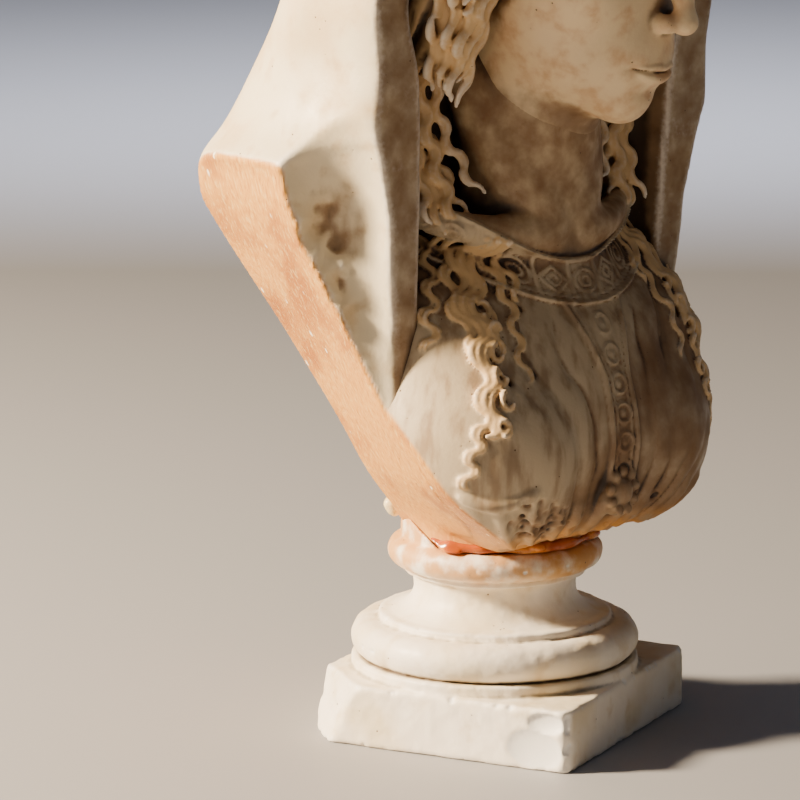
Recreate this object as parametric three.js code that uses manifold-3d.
// A plaster portrait bust of a veiled woman, dowelled and glued to a turned socle.
// Millimetres, +Z up. The origin is the middle of the plinth's underside, and the plinth's front faces -Y.
import * as THREE from "three";
import { mergeVertices } from "three/addons/utils/BufferGeometryUtils.js";
import Module from "manifold-3d";

const wasm = await Module();
wasm.setup();

// ---- Driving dimensions ----
const PIECE_GAP = 0.3; // between two pieces that touch
const TURN_STEPS = 44; // facets round a turned form
const ARC_STEPS = 6; // facets in the section of a moulding

// Socle: a square plinth with a turned base on it.
const PLINTH_SIDE = 86;
const PLINTH_THICK = 18;
const PLINTH_CORNER = 3.5; // radius that the upright corners are worn to
const PLINTH_BEVEL = 0.9;
const BROKEN_CORNER = 15; // how far the broken corner is cut back along each side
const BASE_BAND_R = 42;
const BASE_BAND_H = 3;
const LOWER_TORUS_R = 42;
const LOWER_TORUS_H = 11;
const UPPER_BAND_R = 34;
const UPPER_BAND_H = 2;
const WAIST_R = 23.6;
const WAIST_H = 12.5; // the hollow between the two bands
const WAIST_LOW_SHARE = 0.62; // how far up the hollow its narrowest place is
const COLLAR_BAND_R = 26.5;
const COLLAR_BAND_H = 1.5;
const COLLAR_R = 31.4;
const COLLAR_H = 8.5;

// Neck: the short drum between the collar and the figure. It broke along a slope, and part stayed on the socle.
const NECK_DRUM_R = 27.5;
const BREAK_OFFSET = 18; // from the axis to the line where the break leaves the collar
const BREAK_SLOPE = 0.9; // rise over run
const BREAK_BEARING = 120; // degrees from +X to the way that the break rises
const GLUE_THICK = 0.8;
const GLUE_BEAD_OUT = 2.4; // how far the glue squeezed out stands from the neck
const GLUE_BEAD_H = 2.6;
const GLUE_FACE_GAP = 1; // glue starts this far from the broken face
const DRIP_R = 3.1;
const DRIP_LEAN = 0.75; // a drip's width over its height

// Dowel: an iron pin bedded in plaster, half in the socle and half in the figure.
const DOWEL_R = 4;
const DOWEL_LENGTH = 76;
const BED_WALL = 2.6;
const DOWEL_DEPTH = 34; // into the socle, below its collar
const SOCKET_END_ROOM = 1.5;

// Figure. Its masses are given in its own frame, which faces -Y, and it stands turned on the socle.
const FIGURE_TURN = -20; // degrees about +Z
const HEAD_TURN = 13; // degrees about +Z, towards the figure's left
const HEAD_TILT = 12; // degrees forwards
const HEAD_CENTRE = [0, -21, 235];
const NECK_R = 22;
const NECK_LOW = [0, -3, 116];
const NECK_HIGH = [0, -15, 205];
const FIGURE_SEAT = 57.9; // the height, in the figure's own frame, at which it stands on the glue
const NECK_PILLAR_TOP = 84; // the drum runs on up the back of the figure
const CUT_FOOT_X = 31; // half width of the figure at the foot of its side cuts
const CUT_FOOT_Z = 60;
const CUT_SIDE_SLOPE = 0.5;
const CUT_WIDENING = 0.25; // how fast the side cuts draw apart towards the front
const CUT_BACK_Y = 14; // how far back the rear cut is at its foot
const CUT_BACK_Z = 64;
const CUT_BACK_SLOPE = 0.345;
const VEIL_FRONT = 16; // the veil's edges hang this far in front of the axis
const VEIL_LEAN = 0.055; // how much further forward they are for each unit up
const VEIL_FOOT = 88;
const FACE_OPENING_X = 57; // half width between the veil's edges
const FACE_OPENING_TOP = 277;
const CROWN = 288;
const SIDE_LOCK_R = 12; // the hair that hangs beside the neck
const SIDE_LOCK_TOP = [40, -6, 225];
const SIDE_LOCK_FOOT = [43, -9, 132];
const BAND_WIDTH = 13; // the ornamented border at the dress's neckline
const BAND_PROUD = 1.2;
const BAND_DIP = 126; // height of its lowest point
const BAND_RISE = 0.0135; // how fast it climbs to the sides
const BREAST = { centre: [27, -24, 87], size: [25, 26.5, 27] };
const TRESS_R = 3.4;
const TRESSES = [
  // distance from the middle at the top and at the foot, height of the top and of the foot
  [48, 47, 140, 108],
  [41, 34, 150, 80],
  [33, 27, 138, 106],
];

const radians = THREE.MathUtils.degToRad;
const collarTop =
  PLINTH_THICK + BASE_BAND_H + LOWER_TORUS_H + UPPER_BAND_H + WAIST_H + COLLAR_BAND_H + COLLAR_H;
const glueFloor = collarTop + PIECE_GAP;
const figureFloor = glueFloor + GLUE_THICK + PIECE_GAP;
const figureLift = figureFloor - FIGURE_SEAT;
const stumpTop = collarTop + BREAK_SLOPE * (NECK_DRUM_R - BREAK_OFFSET) + 1;

// ---- Solids ----
const material = (color, roughness, metalness = 0) =>
  new THREE.MeshStandardMaterial({ color, roughness, metalness });
const finishes = {
  figure: material("#c9ad84", 0.55),
  socle: material("#ddd0b6", 0.6),
  glue: material("#b4682c", 0.25),
  iron: material("#4c4742", 0.6, 0.9),
  bed: material("#e9e4d8", 0.85),
};

function toSolid(geometry) {
  const bare = geometry.index ? geometry.toNonIndexed() : geometry.clone();
  bare.deleteAttribute("normal");
  bare.deleteAttribute("uv");
  const merged = mergeVertices(bare, 1e-4);
  return new wasm.Manifold(
    new wasm.Mesh({
      numProp: 3,
      vertProperties: new Float32Array(merged.attributes.position.array),
      triVerts: new Uint32Array(merged.index.array),
    }),
  );
}

function toMesh(solid, name, finish) {
  const { numProp, vertProperties, triVerts } = solid.getMesh();
  const places = new Float32Array((vertProperties.length / numProp) * 3);
  for (let i = 0; i < places.length / 3; i++) {
    places.set(vertProperties.subarray(i * numProp, i * numProp + 3), i * 3);
  }
  const geometry = new THREE.BufferGeometry()
    .setAttribute("position", new THREE.BufferAttribute(places, 3))
    .setIndex(new THREE.BufferAttribute(triVerts, 1));
  geometry.computeVertexNormals();
  const mesh = new THREE.Mesh(geometry, finish);
  mesh.name = name;
  return mesh;
}

const drum = (radius, low, high, steps = TURN_STEPS) =>
  new THREE.CylinderGeometry(radius, radius, high - low, steps)
    .rotateX(Math.PI / 2)
    .translate(0, 0, (low + high) / 2);

// Points on a bulging moulding, from its foot to its top.
function torusSection(radius, low, height) {
  const half = height / 2;
  return Array.from({ length: ARC_STEPS + 1 }, (_, i) => {
    const a = -Math.PI / 2 + (Math.PI * i) / ARC_STEPS;
    return [radius - half + half * Math.cos(a), low + half + half * Math.sin(a)];
  });
}

// Points on the hollow of the waist: two quarter ellipses that meet where it is narrowest.
function waistSection(low) {
  const turn = low + WAIST_H * WAIST_LOW_SHARE;
  const top = low + WAIST_H;
  const lowRun = UPPER_BAND_R - 1 - WAIST_R;
  const highRun = COLLAR_BAND_R - 1 - WAIST_R;
  const quarter = (i) => (Math.PI / 2) * (i / ARC_STEPS);
  const steps = Array.from({ length: ARC_STEPS + 1 }, (_, i) => i);
  return [
    ...steps.map((i) => [
      WAIST_R + lowRun * (1 - Math.sin(quarter(i))),
      turn - (turn - low) * Math.cos(quarter(i)),
    ]),
    ...steps.slice(1).map((i) => [
      WAIST_R + highRun * (1 - Math.cos(quarter(i))),
      turn + (top - turn) * Math.sin(quarter(i)),
    ]),
  ];
}

function turned(section) {
  const points = section.map(([r, z]) => new THREE.Vector2(r, z));
  return new THREE.LatheGeometry(points, TURN_STEPS).rotateX(Math.PI / 2);
}

// What lies above the sloping break, from `gap` over it.
function aboveBreak(gap) {
  const size = 4 * NECK_DRUM_R;
  const lean = Math.atan(BREAK_SLOPE);
  const block = new THREE.BoxGeometry(size, size, size)
    .translate(0, 0, size / 2 + gap)
    .rotateY(-lean)
    .translate(BREAK_OFFSET, 0, collarTop)
    .rotateZ(radians(BREAK_BEARING));
  return toSolid(block);
}

function plinth() {
  const half = PLINTH_SIDE / 2 - PLINTH_BEVEL;
  const r = PLINTH_CORNER - PLINTH_BEVEL;
  const outline = new THREE.Shape();
  outline.moveTo(-half + r, -half);
  outline.lineTo(half - r, -half);
  outline.absarc(half - r, -half + r, r, -Math.PI / 2, 0);
  outline.lineTo(half, half - r);
  outline.absarc(half - r, half - r, r, 0, Math.PI / 2);
  outline.lineTo(-half + r, half);
  outline.absarc(-half + r, half - r, r, Math.PI / 2, Math.PI);
  outline.lineTo(-half, -half + r);
  outline.absarc(-half + r, -half + r, r, Math.PI, 1.5 * Math.PI);
  const slab = new THREE.ExtrudeGeometry(outline, {
    depth: PLINTH_THICK - 2 * PLINTH_BEVEL,
    bevelSize: PLINTH_BEVEL,
    bevelThickness: PLINTH_BEVEL,
    bevelSegments: 1,
    curveSegments: 4,
  }).translate(0, 0, PLINTH_BEVEL);
  const corner = PLINTH_SIDE / 2;
  const breakWidth = 2 * BROKEN_CORNER;
  const broken = new THREE.BoxGeometry(breakWidth, 2 * breakWidth, 3 * PLINTH_THICK)
    .translate(-breakWidth / 2, 0, 0)
    .rotateY(radians(18))
    .translate(0, 0, PLINTH_THICK / 2)
    .rotateZ(radians(-45))
    .translate(-corner + BROKEN_CORNER / 2, corner - BROKEN_CORNER / 2, 0);
  return toSolid(slab).subtract(toSolid(broken));
}

function socle() {
  let z = PLINTH_THICK;
  const section = [[0, z - PLINTH_BEVEL], [BASE_BAND_R, z - PLINTH_BEVEL]];
  z += BASE_BAND_H;
  section.push([BASE_BAND_R, z], ...torusSection(LOWER_TORUS_R, z, LOWER_TORUS_H));
  z += LOWER_TORUS_H;
  section.push([UPPER_BAND_R, z], [UPPER_BAND_R, z + UPPER_BAND_H]);
  z += UPPER_BAND_H;
  section.push(...waistSection(z));
  z += WAIST_H;
  section.push([COLLAR_BAND_R, z], [COLLAR_BAND_R, z + COLLAR_BAND_H]);
  z += COLLAR_BAND_H;
  section.push(...torusSection(COLLAR_R, z, COLLAR_H), [0, collarTop]);
  const stump = toSolid(drum(NECK_DRUM_R, collarTop - 1, stumpTop)).subtract(aboveBreak(0));
  const socket = drum(DOWEL_R + BED_WALL, collarTop - DOWEL_DEPTH - SOCKET_END_ROOM, stumpTop, 24);
  return toSolid(turned(section)).add(plinth()).add(stump).subtract(toSolid(socket));
}

// ---- Figure ----
// Rows of [height, ...values], read at any height through a smooth curve.
function read(rows, z) {
  const last = rows.length - 1;
  const i = Math.max(0, Math.min(last - 1, rows.findIndex((row) => row[0] > z) - 1));
  if (z >= rows[last][0]) return rows[last].slice(1);
  const [before, low, high, after] = [-1, 0, 1, 2].map((k) => rows[Math.min(last, Math.max(0, i + k))]);
  const t = (z - low[0]) / (high[0] - low[0]);
  const slope = (from, to, k) => ((to[k] - from[k]) / (to[0] - from[0])) * (high[0] - low[0]);
  return low.slice(1).map((value, column) => {
    const k = column + 1;
    const leave = slope(before, high, k);
    const arrive = slope(low, after, k);
    const bend = (2 * t ** 3 - 3 * t ** 2 + 1) * value + (t ** 3 - 2 * t ** 2 + t) * leave;
    return bend + (3 * t ** 2 - 2 * t ** 3) * high[k] + (t ** 3 - t ** 2) * arrive;
  });
}

// A closed form through rows of [height, half width, depth in front, depth behind, squareness in front,
// squareness behind]. The last may be left out.
function loft(rows, levels, steps) {
  const low = rows[0][0];
  const high = rows.at(-1)[0];
  const heights = rows.slice(1).flatMap(([z], i) =>
    Array.from({ length: levels }, (_, k) => rows[i][0] + ((z - rows[i][0]) * k) / levels),
  );
  heights.push(high);
  const points = [[0, low], ...heights.map((z) => [1, z]), [0, high]].map(
    ([r, z]) => new THREE.Vector2(r, z),
  );
  const form = new THREE.LatheGeometry(points, steps).rotateX(Math.PI / 2);
  const places = form.getAttribute("position");
  for (let i = 0; i < places.count; i++) {
    const [x, y, z] = [places.getX(i), places.getY(i), places.getZ(i)];
    if (Math.hypot(x, y) < 0.5) continue;
    const [width, front, back, inFront, behind = inFront] = read(rows, z);
    const power = y > 0 ? behind : inFront;
    const stretch = (v) => Math.sign(v) * (Math.abs(v) < 1e-6 ? 0 : Math.abs(v) ** (2 / power));
    const middle = (back - front) / 2;
    places.setX(i, width * stretch(x));
    places.setY(i, middle + ((front + back) / 2) * stretch(y));
  }
  return form;
}

const CHEST_FOOT = FIGURE_SEAT + GLUE_BEAD_H - GLUE_THICK + 3 * PIECE_GAP;
const CHEST = [
  [CHEST_FOOT, 30, 31, 26, 2],
  [63, 37, 36, 27, 2],
  [68, 45, 41, 29, 2.2],
  [77, 53, 43.5, 30, 2.4],
  [88, 58, 46, 32, 2.5],
  [100, 61, 45.5, 36, 2.6],
  [112, 63, 43.5, 40, 2.6],
  [124, 64, 35.5, 44, 2.6],
  [134, 62, 26, 46, 2.5],
  [144, 56, 16, 46, 2.4],
  [156, 44, 6, 44, 2.2],
  [168, 26, 0, 40, 2],
];
const VEIL = [
  [VEIL_FOOT, 60, 29, 40, 3, 3],
  [110, 66, 28, 46, 2.6, 3.2],
  [135, 74, 28, 52, 2.6, 3.6],
  [152, 80, 26, 54, 2.6, 3.8],
  [164, 79, 30, 54, 2.8, 3.4],
  [178, 72, 32, 53, 3.4, 2.8],
  [195, 69, 36, 53, 4.4, 2.4],
  [215, 70, 38, 53, 4.4, 2.2],
  [235, 66, 42, 53, 3.4, 2.1],
  [252, 57, 46, 50, 2.6, 2],
  [266, 46, 45, 43, 2.2, 2],
  [278, 31, 37, 31, 2, 2],
  [285, 16, 27, 14, 2, 2],
  [CROWN, 3, 17, -10, 2, 2],
];
const FACE_OPENING = [
  [VEIL_FOOT - 10, 50, 90, -2, 3],
  [130, FACE_OPENING_X - 1, 90, -2, 3],
  [200, FACE_OPENING_X, 90, -4, 3],
  [235, 54, 90, -10, 2.6],
  [252, 45, 90, -20, 2.2],
  [266, 32, 90, -30, 2],
  [FACE_OPENING_TOP, 9, 90, -38, 2],
];
// The head's masses from its centre: place, then half sizes.
const HEAD_MASSES = [
  [[0, 4, 13], [36, 43, 37]], // skull
  [[0, -12, -12], [29, 27, 40]], // face
  [[0, -31, -42], [12.5, 10, 9]], // chin
  [[0, -41, -13], [5, 9, 12]], // nose
  [[0, -35, -28], [9, 5, 4.5]], // lips
  [[0, 0, 12], [46, 34, 40]], // hair over the ears
];

// Distance from the head's centre to where a ray leaves one mass.
function leaves(ray, [centre, size]) {
  const sum = (f) => [0, 1, 2].reduce((total, k) => total + f(k) / size[k] ** 2, 0);
  const a = sum((k) => ray[k] ** 2);
  const b = sum((k) => ray[k] * centre[k]);
  const inside = b * b - a * (sum((k) => centre[k] ** 2) - 1);
  return inside < 0 ? 0 : Math.max(0, (b + Math.sqrt(inside)) / a);
}

function head() {
  const softness = 12;
  const form = new THREE.SphereGeometry(1, 40, 30).rotateX(Math.PI / 2);
  const places = form.getAttribute("position");
  for (let i = 0; i < places.count; i++) {
    const ray = new THREE.Vector3().fromBufferAttribute(places, i).normalize();
    const reach = HEAD_MASSES.map((mass) => leaves(ray.toArray(), mass) ** softness);
    ray.multiplyScalar(reach.reduce((total, value) => total + value, 0) ** (1 / softness));
    places.setXYZ(i, ray.x, ray.y, ray.z);
  }
  return form.rotateX(radians(HEAD_TILT)).rotateZ(radians(HEAD_TURN)).translate(...HEAD_CENTRE);
}

function column(radius, foot, top) {
  const low = new THREE.Vector3(...foot);
  const high = new THREE.Vector3(...top);
  const form = new THREE.CylinderGeometry(radius, radius, low.distanceTo(high), 28);
  const way = high.clone().sub(low).normalize();
  const lean = new THREE.Quaternion().setFromUnitVectors(new THREE.Vector3(0, 1, 0), way);
  return form.applyQuaternion(lean).translate(...low.add(high).divideScalar(2).toArray());
}

// The chest's front at this place across and this height.
function chestFront(x, z) {
  const [width, front, back, power] = read(CHEST, z);
  const middle = (back - front) / 2;
  const across = Math.min(1, Math.abs(x) / width);
  return middle - ((front + back) / 2) * (1 - across ** power) ** (1 / power);
}

function along(section, places) {
  const outline = new THREE.Shape(section.map(([x, y]) => new THREE.Vector2(x, y)));
  const path = new THREE.CatmullRomCurve3(places.map((place) => new THREE.Vector3(...place)));
  return new THREE.ExtrudeGeometry(outline, { extrudePath: path, steps: places.length - 1 });
}

const hexagon = Array.from({ length: 6 }, (_, i) => [
  TRESS_R * Math.cos((Math.PI * i) / 3),
  TRESS_R * Math.sin((Math.PI * i) / 3),
]);

function tress(side, [topX, footX, top, foot], count) {
  const places = Array.from({ length: count + 1 }, (_, i) => {
    const t = i / count;
    const x = side * (THREE.MathUtils.lerp(topX, footX, t) + 2 * Math.sin(7 * t));
    const z = THREE.MathUtils.lerp(top, foot, t);
    return [x, chestFront(x, z) - 0.3 * TRESS_R, z];
  });
  return along(hexagon, places);
}

function breast(side) {
  const [x, y, z] = BREAST.centre;
  return new THREE.SphereGeometry(1, 22, 16).scale(...BREAST.size).translate(side * x, y, z);
}

function neckline() {
  const half = BAND_WIDTH / 2;
  const count = 18;
  const spread = 44;
  const places = Array.from({ length: count + 1 }, (_, i) => {
    const x = THREE.MathUtils.lerp(-spread, spread, i / count);
    const z = BAND_DIP + BAND_RISE * x * x;
    return [x, chestFront(x, z) + 3, z];
  });
  const round = Array.from({ length: 12 }, (_, i) => [
    half * Math.cos((Math.PI * i) / 6),
    (3 + BAND_PROUD) * Math.sin((Math.PI * i) / 6),
  ]);
  return along(round, places);
}

// What is left after the side cuts and the rear cut: a block that widens upwards.
function keptBlock() {
  const [low, high, front] = [FIGURE_SEAT - 5, 320, -150];
  const block = new THREE.BoxGeometry(2, 2, 2);
  const places = block.getAttribute("position");
  for (let i = 0; i < places.count; i++) {
    const z = places.getZ(i) < 0 ? low : high;
    const x = CUT_FOOT_X + CUT_SIDE_SLOPE * (z - CUT_FOOT_Z);
    const back = CUT_BACK_Y + CUT_BACK_SLOPE * (z - CUT_BACK_Z);
    const y = places.getY(i) < 0 ? front : back;
    places.setXYZ(i, Math.sign(places.getX(i)) * (x - CUT_WIDENING * y), y, z);
  }
  return block;
}

function veil() {
  const [low, high] = [VEIL_FOOT - 20, 320];
  const room = 160;
  const space = new THREE.BoxGeometry(2 * room, room, high - low).translate(0, -room / 2, (low + high) / 2);
  const places = space.getAttribute("position");
  for (let i = 0; i < places.count; i++) {
    const edge = -VEIL_FRONT - VEIL_LEAN * (places.getZ(i) - VEIL_FOOT);
    if (places.getY(i) > -1) places.setY(i, edge);
  }
  return toSolid(loft(VEIL, 2, 52)).subtract(toSolid(space)).subtract(toSolid(loft(FACE_OPENING, 2, 36)));
}

function figure() {
  const socketTop = collarTop - DOWEL_DEPTH + DOWEL_LENGTH + SOCKET_END_ROOM;
  const socket = drum(DOWEL_R + BED_WALL, collarTop - 5, socketTop, 24);
  const stumpSide = toSolid(drum(2 * NECK_DRUM_R, collarTop - 5, stumpTop + 1)).subtract(
    aboveBreak(PIECE_GAP),
  );
  let body = toSolid(loft(CHEST, 2, 52)).add(veil());
  const breasts = [-1, 1].map((side) => breast(side));
  const tresses = [-1, 1].flatMap((side) => TRESSES.map((size) => tress(side, size, 13)));
  for (const form of [...breasts, ...tresses, neckline()]) body = body.add(toSolid(form));
  for (const side of [-1, 1]) {
    const [[x, y, z], [footX, footY, foot]] = [SIDE_LOCK_TOP, SIDE_LOCK_FOOT];
    body = body.add(toSolid(column(SIDE_LOCK_R, [side * footX, footY, foot], [side * x, y, z])));
  }
  body = body.intersect(toSolid(keptBlock()));
  body = body.add(toSolid(column(NECK_R, NECK_LOW, NECK_HIGH))).add(toSolid(head()));
  return body
    .rotate([0, 0, FIGURE_TURN])
    .translate([0, 0, figureLift])
    .add(toSolid(drum(NECK_DRUM_R, figureFloor, NECK_PILLAR_TOP + figureLift)))
    .subtract(toSolid(socket))
    .subtract(stumpSide);
}

// ---- Joint ----
function glueSeam() {
  const seat = NECK_DRUM_R + PIECE_GAP;
  const bore = DOWEL_R + BED_WALL + PIECE_GAP;
  const top = glueFloor + GLUE_THICK;
  const bead = glueFloor + GLUE_BEAD_H;
  const edge = seat + GLUE_BEAD_OUT;
  const section = [
    [bore, glueFloor],
    [seat + GLUE_BEAD_OUT * 0.7, glueFloor],
    [edge, glueFloor + GLUE_BEAD_OUT * 0.4],
    [seat + GLUE_BEAD_OUT * 0.8, bead - GLUE_BEAD_OUT * 0.5],
    [seat + 0.1, bead],
    [seat, top],
    [bore, top],
    [bore, glueFloor],
  ];
  const keep = aboveBreak(GLUE_FACE_GAP);
  return toSolid(turned(section)).intersect(keep);
}

function glueDrip() {
  const high = collarTop + BREAK_SLOPE * (NECK_DRUM_R - BREAK_OFFSET);
  const drip = new THREE.SphereGeometry(DRIP_R, 14, 10)
    .scale(DRIP_LEAN, DRIP_LEAN, 1)
    .translate(NECK_DRUM_R + DRIP_R * DRIP_LEAN + PIECE_GAP, 0, high)
    .rotateZ(radians(BREAK_BEARING));
  return toSolid(drip);
}

const dowelFloor = collarTop - DOWEL_DEPTH;
const dowel = () => toSolid(drum(DOWEL_R, dowelFloor, dowelFloor + DOWEL_LENGTH, 24));

function bed(low, high) {
  const outer = toSolid(drum(DOWEL_R + BED_WALL - PIECE_GAP, low, high, 24));
  return outer.subtract(toSolid(drum(DOWEL_R + PIECE_GAP, low - 1, high + 1, 24)));
}

const bust = new THREE.Group();
bust.add(
  toMesh(figure(), "figure", finishes.figure),
  toMesh(socle(), "socle", finishes.socle),
  toMesh(glueSeam(), "glue_seam", finishes.glue),
  toMesh(glueDrip(), "glue_drip", finishes.glue),
  toMesh(dowel(), "dowel", finishes.iron),
  toMesh(bed(dowelFloor, collarTop), "lower_bed", finishes.bed),
  toMesh(bed(figureFloor, dowelFloor + DOWEL_LENGTH), "upper_bed", finishes.bed),
);

export default bust;
